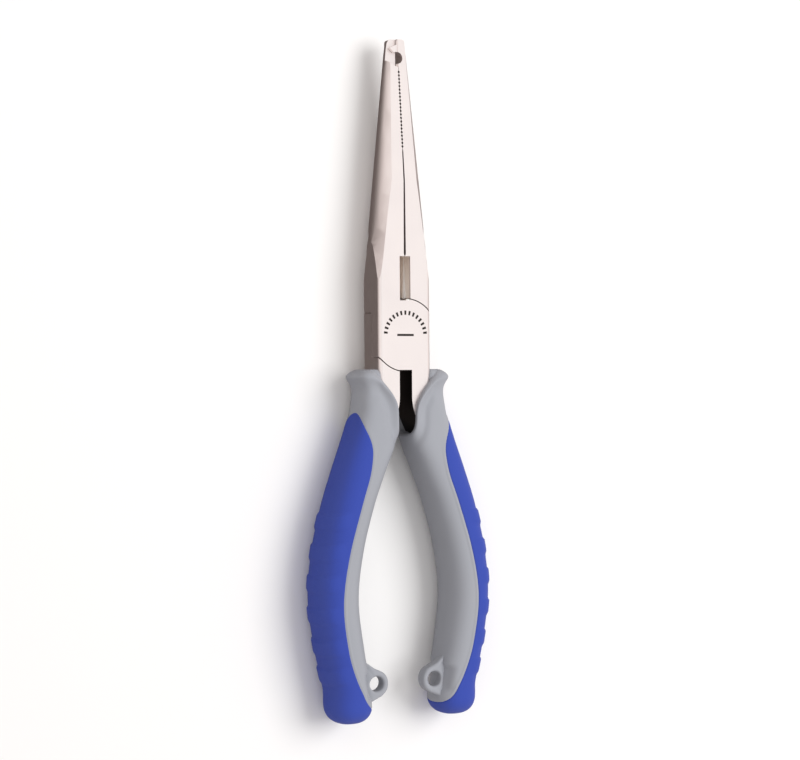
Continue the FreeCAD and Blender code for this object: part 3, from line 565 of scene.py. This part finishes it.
# Where the soft overlay ends: a round top on the outer side, then down the middle of the front,
# and round to the inner side near the bottom.
SEAM_STOPS = ((21.4, 0), (21.6, 12), (22.1, 22), (23.0, 32), (24.4, 42), (26.3, 53), (28.4, 64.5),
              (30.6, 75), (33.0, 83.5), (37.0, 92), (41.4, 95.5), (50.0, 95), (58.6, 91.5),
              (71.5, 85), (80.0, 82.5), (88.0, 84.0), (94.4, 92.0), (98.8, 105), (101.4, 120),
              (102.7, 138), (103.2, 157), (103.3, 180))
HALF_COLUMNS = 110
SEAM_ROWS = 210
RIM_FINE = 600
SEAM_FINE = 1600
RIM = spaced(smooth_line([(d, math.radians(a)) for d, a in RIM_STOPS]), HALF_COLUMNS)
SEAM = spaced(smooth_line([(d, math.radians(a)) for d, a in SEAM_STOPS]), SEAM_ROWS)
RIM_FINDER = tree_of(spaced(RIM, RIM_FINE))
SEAM_FINDER = tree_of(spaced(SEAM, SEAM_FINE))


def seam_angle(depth):
    """How far round the skin the soft overlay reaches at this distance."""
    if depth <= SEAM[0].x:
        return 0.0
    if depth >= SEAM[-1].x:
        return math.pi
    k = next(i for i in range(1, len(SEAM)) if SEAM[i].x >= depth)
    a, b = SEAM[k - 1], SEAM[k]
    return a.y + (b.y - a.y) * (depth - a.x) / max(b.x - a.x, 1e-9)


def away(finder, depth, angle):
    """Distance in mm from a point of the skin to a line on it."""
    return finder.find(skin(depth, angle))[2] / MM


print("rim and seam points:", len(RIM), len(SEAM))

# %% [markdown]
# ## The hard core
# The core is moulded in hard grey plastic: a collar with a rolled rim that guards the fingers, the
# inner side of the grip, and a rib that stands up a little along the soft overlay. Lofted sections
# could not follow the slanting rim, so a flat grid is wrapped round the skin instead. Its first rows
# turn over the rim and run in to the steel, so that the collar shows a real wall, and its other rows
# run down to the bottom, where they close.

# %% Core profile
LIP_ROUND_FRONT = 1.0
LIP_ROUND_GUARD = 2.3
# the place and width of the swell and the hollow: at the front, and what the guard adds
SWELL_PLACE, SWELL_WIDTH, SWELL_HIGH = (1.0, 1.1), (0.7, 0.6), 0.5
HOLLOW_PLACE, HOLLOW_WIDTH, HOLLOW_DEEP = (3.0, 2.5), (1.3, 0.9), 0.55
GUARD_ENDS = (42, 82)
ROLL_ENDS = (118, 158)
BED_DEEP, BED_EDGE = 0.5, (0.2, 1.4)
RIB_HIGH, RIB_PLACE, RIB_WIDTH = 0.16, 0.45, 0.32
LOOP_DEPTH = 96.5
LOOP_BED_DEEP, LOOP_BED_HALF, LOOP_BED_TURN = 0.8, (2.4, 4.2), (110, 140)


def core_out(depth, angle):
    """How far the core stands off the skin. The rim is rounded and swells, with a hollow behind it;
    both fade on the inner side. The overlay's bed is sunk, with a rib along it, and so is the
    place of the lanyard loop."""
    angle = abs(angle)
    rim = away(RIM_FINDER, depth, angle)
    guard = 1 - turn_step(*GUARD_ENDS, angle)
    bend = LIP_ROUND_FRONT + (LIP_ROUND_GUARD - LIP_ROUND_FRONT) * guard
    out = 0.0
    if rim < bend:
        out -= bend * (1 - math.sqrt(max(1 - (1 - rim / bend) ** 2, 0.0)))
    swell = SWELL_HIGH * hump(SWELL_PLACE[0] + SWELL_PLACE[1] * guard,
                              SWELL_WIDTH[0] + SWELL_WIDTH[1] * guard, rim)
    hollow = HOLLOW_DEEP * hump(HOLLOW_PLACE[0] + HOLLOW_PLACE[1] * guard,
                                HOLLOW_WIDTH[0] + HOLLOW_WIDTH[1] * guard, rim)
    out += (swell - hollow) * (1 - turn_step(*ROLL_ENDS, angle))
    seam = away(SEAM_FINDER, depth, angle)
    if angle < seam_angle(depth):
        out -= BED_DEEP * step(*BED_EDGE, seam)
    else:
        out += RIB_HIGH * hump(RIB_PLACE, RIB_WIDTH, seam)
    at_loop = 1 - step(*LOOP_BED_HALF, abs(depth - LOOP_DEPTH))
    return out - LOOP_BED_DEEP * at_loop * turn_step(*LOOP_BED_TURN, angle)


print("rim at the guard stands off %.2f mm" % core_out(11.5, 0.0))


# %% The wall of the mouth, which runs in to the steel
GUARD_SIDE = 8.35
CROTCH_SIDE = 5.0
CROTCH_STARTS = (26.3, 27.2)
FACE_GAP = 0.03


def turned_in(depth, angle, share):
    """A point on the wall of the mouth, from the rim (share 0) to the side of the steel (1)."""
    start = skin(depth, angle, core_out(depth, angle))
    low = CROTCH_SIDE * step(*CROTCH_STARTS, depth)
    face = STEEL_HALF + FACE_GAP
    x = min(max((start.x - PIVOT.x) / MM, low), GUARD_SIDE)
    z = min(max((start.z - PIVOT.z) / MM, -face), face)
    end = Vector((PIVOT.x + x * MM, start.y, PIVOT.z + z * MM))
    return start.lerp(end, share)


TANG_INSIDE = 3.2
TANG_SLANT = 0.42
TANG_STRAIGHT = 20.0
TANG_OUTSIDE = 7.2
TANG_HALF = STEEL_HALF - 0.6
HIDDEN = 1.5


def in_the_steel(depth, angle):
    """A point inside the steel, where the wall of the mouth ends out of sight."""
    low = TANG_INSIDE + max(depth - TANG_STRAIGHT, 0.0) * TANG_SLANT
    edge = turned_in(depth, angle, 1.0)
    x = min(max((edge.x - PIVOT.x) / MM, low), TANG_OUTSIDE)
    z = min(max((edge.z - PIVOT.z) / MM, -TANG_HALF), TANG_HALF)
    return Vector((PIVOT.x + x * MM, edge.y - HIDDEN * MM, PIVOT.z + z * MM))


print("the wall ends %.1f mm behind the pivot" % ((PIVOT.y - in_the_steel(*RIM[0]).y) / MM))


# %% Rows of the core
REGULAR = 37.0
COLLAR_ROWS = 70
LONG_ROWS = 150
CAP_ROWS = 14
WALL_ROWS = 5
CORE_END = 106.0
LEAVE = 3.0
SKIN_RADIUS = 7.3


def column_start(column):
    """The rim point of a column, its direction away from the rim, and its angle further down."""
    half = column if column <= HALF_COLUMNS else 2 * HALF_COLUMNS - column
    sign = 1 if column <= HALF_COLUMNS else -1
    here = RIM[half]
    before, after = RIM[max(half - 1, 0)], RIM[min(half + 1, HALF_COLUMNS)]
    along = Vector((after.x - before.x, (after.y - before.y) * SKIN_RADIUS)).normalized()
    leave = Vector((abs(along.y) * LEAVE, -along.x * LEAVE / SKIN_RADIUS))
    if half in (0, HALF_COLUMNS):
        leave = Vector((LEAVE, 0))
    return here, leave, math.pi * half / HALF_COLUMNS, sign


def core_point(column, row):
    """A corner of the core's grid: first the wall of the mouth, then the collar, where the columns
    bend from the slanting rim to an even spread, then the long part and the bottom."""
    here, leave, spread, sign = column_start(column)
    if row < WALL_ROWS:
        if row == 0:
            return in_the_steel(here.x, sign * here.y)
        return turned_in(here.x, sign * here.y, 1 - (row - 1) / WALL_ROWS)
    row -= WALL_ROWS
    if row <= COLLAR_ROWS:
        t = (row / COLLAR_ROWS) ** 1.5
        guide = here + leave
        goal = Vector((REGULAR, spread))
        p = here * (1 - t) ** 2 + guide * 2 * t * (1 - t) + goal * t * t
    elif row <= COLLAR_ROWS + LONG_ROWS:
        t = (row - COLLAR_ROWS) / LONG_ROWS
        p = Vector((REGULAR + (CAP_START - REGULAR) * t, spread))
    else:
        t = (row - COLLAR_ROWS - LONG_ROWS) / CAP_ROWS
        p = Vector((CAP_START + (CORE_END - CAP_START) * math.sin(t * math.pi / 2), spread))
    return skin(p.x, sign * p.y, core_out(p.x, sign * p.y))


def wrapped_grid(columns, rows, point):
    """A flat grid whose corners are all moved to point(column, row)."""
    shape = bmesh.new()
    bmesh.ops.create_grid(shape, x_segments=columns, y_segments=rows, size=1.0)
    for corner in shape.verts:
        column = round((corner.co.x + 1) / 2 * columns)
        row = round((corner.co.y + 1) / 2 * rows)
        corner.co = point(column, row)
    return shape


def outwards(shape):
    """Turn all faces to look out."""
    bmesh.ops.recalc_face_normals(shape, faces=shape.faces)
    if shape.calc_volume(signed=True) < 0:
        bmesh.ops.reverse_faces(shape, faces=shape.faces)


SAME_PLACE = 0.0005 * MM


def core_shape():
    """The wrapped grid, welded where its sides meet and closed at both ends."""
    shape = wrapped_grid(2 * HALF_COLUMNS, WALL_ROWS + COLLAR_ROWS + LONG_ROWS + CAP_ROWS, core_point)
    bmesh.ops.remove_doubles(shape, verts=shape.verts, dist=SAME_PLACE)
    bmesh.ops.holes_fill(shape, edges=[e for e in shape.edges if e.is_boundary], sides=0)
    outwards(shape)
    return shape


# %% [markdown]
# ## The lanyard loop
# At the bottom of each core an eye for a lanyard stands out from the middle of the inner side. It
# is part of the same moulding. A torus would be too round and would miss the fillets. So the eye
# starts as the circle of its hole, which is extruded out to an outline that runs off into the grip
# with two soft fillets. The flat ring then gets its thickness and rounded edges, and thins towards
# its root so that it sinks into the side of the grip.

# %% Lanyard loop
LOOP_X = 9.1
LOOP_FRONT = 2.0
LOOP_HALF = 1.95
LOOP_HOLE = 2.05
LOOP_THINNER = 0.5
LOOP_THINS = (1.5 * MM, 4.5 * MM)
LOOP_ROUND = 0.75
LOOP_SEGMENTS = 96
# direction from the middle of the hole in degrees, and distance of the outline in mm
LOOP_OUTLINE = ((0, 5.0), (35, 6.4), (50, 7.6), (57, 8.0), (61, 7.3), (66, 6.3), (72, 5.3), (80, 4.5),
                (92, 3.95), (108, 3.7), (180, 3.6), (235, 3.75), (262, 3.95), (276, 4.4), (286, 5.0),
                (296, 5.9), (305, 6.4), (330, 5.4), (360, 5.0))


def loop_reach(degrees):
    """Distance from the middle of the hole to the outline."""
    k = next(i for i in range(1, len(LOOP_OUTLINE)) if LOOP_OUTLINE[i][0] >= degrees)
    a, b = LOOP_OUTLINE[k - 1], LOOP_OUTLINE[k]
    return a[1] + (b[1] - a[1]) * (degrees - a[0]) / (b[0] - a[0])


def add_loop(shape):
    """Put the eye into the core's mesh as a second closed shell."""
    middle = Vector((PIVOT.x + LOOP_X * MM, PIVOT.y - LOOP_DEPTH * MM,
                     PIVOT.z + (LOOP_FRONT - LOOP_HALF) * MM))
    eye = bmesh.new()
    bmesh.ops.create_circle(eye, segments=LOOP_SEGMENTS, radius=LOOP_HOLE * MM)
    grown = bmesh.ops.extrude_edge_only(eye, edges=eye.edges)["geom"]
    for corner in (g for g in grown if isinstance(g, bmesh.types.BMVert)):
        degrees = math.degrees(math.atan2(corner.co.y, corner.co.x)) % 360
        corner.co = corner.co.normalized() * loop_reach(degrees) * MM
    rise = bmesh.ops.extrude_face_region(eye, geom=eye.faces[:])["geom"]
    bmesh.ops.translate(eye, verts=[g for g in rise if isinstance(g, bmesh.types.BMVert)],
                        vec=(0, 0, 2 * LOOP_HALF * MM))
    outwards(eye)
    sharp = [e for e in eye.edges if e.is_manifold and e.calc_face_angle() > 1.0]
    bmesh.ops.bevel(eye, geom=sharp, offset=LOOP_ROUND * MM, affect="EDGES", segments=5, profile=0.5,
                    material=-1)
    for corner in eye.verts:
        corner.co.z = LOOP_HALF * MM + (corner.co.z - LOOP_HALF * MM) * (
            1 - LOOP_THINNER * step(*LOOP_THINS, corner.co.x))
    bmesh.ops.translate(eye, verts=eye.verts, vec=middle)
    mesh = bpy.data.meshes.new("eye")
    eye.to_mesh(mesh)
    eye.free()
    shape.from_mesh(mesh)
    bpy.data.meshes.remove(mesh)


# %% [markdown]
# ## The soft overlay
# The second shot is blue rubber that feels warm and does not slip when wet. It covers the outer
# side and all of the bottom, stands a hair proud of the core with a rounded edge, and has six low
# bands across the outer side for the fingers. Solidify could thicken a single sheet, but it tangles
# where the rows meet at the top, so an outer and an inner sheet are wrapped on the same grid and
# welded. The grid follows the seam: each row runs from the seam at the front to the seam at the
# back, and the rows below the seam go all the way round.

# %% Overlay
SOFT_COLUMNS = 120
SOFT_CAP_ROWS = 26
BAND_STARTS = (49.5, 57.9, 66.4, 75.2, 83.9, 91.8)
BAND_LONG = 4.3
BAND_HIGH = 0.42
BAND_TOP = (-0.35, 0.35)
BAND_FOOT = (-0.9, 0.6)
BAND_BOW = 0.9
BAND_ENDS = (48, 80)
PROUD = 0.2
SUNK = 0.22
EDGE_ROUND = 0.55
WALL = 0.8
WALL_FULL = 1.5
GATHER = 1.35
EVEN_ROWS = 30


def bands(depth, angle):
    """Height of the finger bands: a crisp step at the top of each and a softer one at its foot."""
    fade = 1 - turn_step(*BAND_ENDS, abs(angle))
    lean = depth + BAND_BOW * math.sin(angle) ** 2
    high = sum(step(*BAND_TOP, lean - s) * (1 - step(*BAND_FOOT, lean - s - BAND_LONG))
               for s in BAND_STARTS)
    return BAND_HIGH * fade * high


def soft_place(column, row):
    """Where a corner of the overlay's grid lies: its depth, its angle and its distance to the seam.
    The columns gather towards the seam, and spread evenly again over the last rows."""
    across = 2 * column / SOFT_COLUMNS - 1
    gathered = math.copysign(1 - (1 - abs(across)) ** GATHER, across)
    even = min(max((row - SEAM_ROWS + EVEN_ROWS) / EVEN_ROWS, 0.0), 1.0)
    if row <= SEAM_ROWS:
        depth, reach = SEAM[row].x, SEAM[row].y
    else:
        t = (row - SEAM_ROWS) / SOFT_CAP_ROWS
        depth = SEAM[-1].x + (CAP_END - SEAM[-1].x) * math.sin(t * math.pi / 2) ** 1.2
        reach = math.pi
    angle = reach * (gathered * (1 - even) + across * even)
    on_seam = row == 0 or (row <= SEAM_ROWS and column in (0, SOFT_COLUMNS))
    return depth, angle, 0.0 if on_seam else away(SEAM_FINDER, depth, angle)


def soft_outside(column, row):
    """A corner of the outer sheet, which comes up out of the seam in a quarter round."""
    depth, angle, seam = soft_place(column, row)
    rounding = 1 - min(seam / EDGE_ROUND, 1.0)
    out = (PROUD + SUNK) * math.sqrt(1 - rounding ** 2) - SUNK
    return skin(depth, angle, out + bands(depth, angle))


def soft_inside(column, row):
    """A corner of the inner sheet, which lies out of sight in the core."""
    depth, angle, seam = soft_place(column, row)
    return skin(depth, angle, -SUNK - WALL * step(0.0, WALL_FULL, seam))


def overlay_shape():
    """An outer and an inner sheet, welded along the seam, where their corners coincide."""
    inner = wrapped_grid(SOFT_COLUMNS, SEAM_ROWS + SOFT_CAP_ROWS, soft_inside)
    mesh = bpy.data.meshes.new("inner_sheet")
    inner.to_mesh(mesh)
    inner.free()
    shape = wrapped_grid(SOFT_COLUMNS, SEAM_ROWS + SOFT_CAP_ROWS, soft_outside)
    shape.from_mesh(mesh)
    bpy.data.meshes.remove(mesh)
    bmesh.ops.remove_doubles(shape, verts=shape.verts, dist=SAME_PLACE)
    outwards(shape)
    return shape


print("bands start at", BAND_STARTS)

# %% [markdown]
# ## Plastics
# The core is ABS, moulded in a tool with a light spark-eroded texture: a pale cool grey, hardly
# glossy. The overlay is thermoplastic rubber from a finely stippled tool: deeper in colour, matt,
# with a soft sheen at grazing angles. Both are a Principled shader with an IOR of 1.5, and only
# colour, roughness and grain tell them apart, so one function makes both. Real textures of 0.05 to
# 0.1 mm are too fine to show here, so both are drawn 0.3 mm across.

# %% Plastic finishes
PLASTIC_CLOUD = 22 * MM
PLASTIC_GRAIN = 0.3 * MM
GLOSS_SPREAD = 0.05


def moulded(name, base, second, roughness, grain_high, sheen):
    """A moulded plastic: two close tones in large clouds over a fine grain."""
    material, tree, shader, place = new_material(name)
    cloud = add(tree, "ShaderNodeTexNoise", {"Vector": place, "Scale": 1 / PLASTIC_CLOUD, "Detail": 2.0})
    tone = add(tree, "ShaderNodeMix", {"Factor": cloud.outputs["Fac"], 6: colour(base),
                                       7: colour(second)}, data_type="RGBA")
    grain = add(tree, "ShaderNodeTexNoise", {"Vector": place, "Scale": 1 / PLASTIC_GRAIN,
                                             "Detail": 3.0})
    gloss = add(tree, "ShaderNodeMapRange", {"Value": grain.outputs["Fac"], "From Min": 0.3,
                                             "From Max": 0.7, "To Min": roughness - GLOSS_SPREAD,
                                             "To Max": roughness + GLOSS_SPREAD})
    bump = add(tree, "ShaderNodeBump", {"Height": grain.outputs["Fac"], "Strength": 0.35,
                                        "Distance": grain_high})
    shader.inputs["IOR"].default_value = 1.5
    shader.inputs["Sheen Weight"].default_value = sheen
    shader.inputs["Sheen Roughness"].default_value = 0.4
    tree.links.new(tone.outputs[2], shader.inputs["Base Color"])
    tree.links.new(gloss.outputs["Result"], shader.inputs["Roughness"])
    tree.links.new(bump.outputs["Normal"], shader.inputs["Normal"])
    return material


HARD = moulded("spark_textured_abs", "#989BA2", "#9EA0A7", roughness=0.42, grain_high=0.03 * MM, sheen=0.0)
SOFT = moulded("stippled_tpr_rubber", "#283F9E", "#2C44A4", roughness=0.55, grain_high=0.05 * MM, sheen=0.05)
print("plastics:", HARD.name, SOFT.name)

# %% [markdown]
# ## Both grips
# The two grips of such a tool come out of mirrored moulds. A Mirror modifier would make one object
# of both, and the two grips ride on different halves of the tool, so each mesh is written once for
# the right side, then mirrored, turned to face outwards again and written for the left.

# %% Both grips
def add_piece(name, mesh, material, body, node):
    """A finished piece: smooth shaded, with its finish, riding on its body in place of a CAD node."""
    mesh.materials.append(material)
    for face in mesh.polygons:
        face.use_smooth = True
    piece = bpy.data.objects.new(name, mesh)
    bpy.context.scene.collection.objects.link(piece)
    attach(piece, body)
    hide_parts(node)


NODE_OF = {"hard_core": "grip_core", "soft_overlay": "grip_overlay"}


def pair(kind, shape, material):
    """Make the right-hand piece from its shape, then the left-hand one from the mirrored shape."""
    for hand, body in (("right_", "front_side"), ("left_", "rear_side")):
        mesh = bpy.data.meshes.new(hand + kind)
        shape.to_mesh(mesh)
        add_piece(hand + kind, mesh, material, body, hand + NODE_OF[kind])
        print(hand + kind, len(mesh.polygons), "faces")
        bmesh.ops.scale(shape, verts=shape.verts, vec=(-1, 1, 1))
        outwards(shape)
    shape.free()


core = core_shape()
add_loop(core)
pair("hard_core", core, HARD)
pair("soft_overlay", overlay_shape(), SOFT)
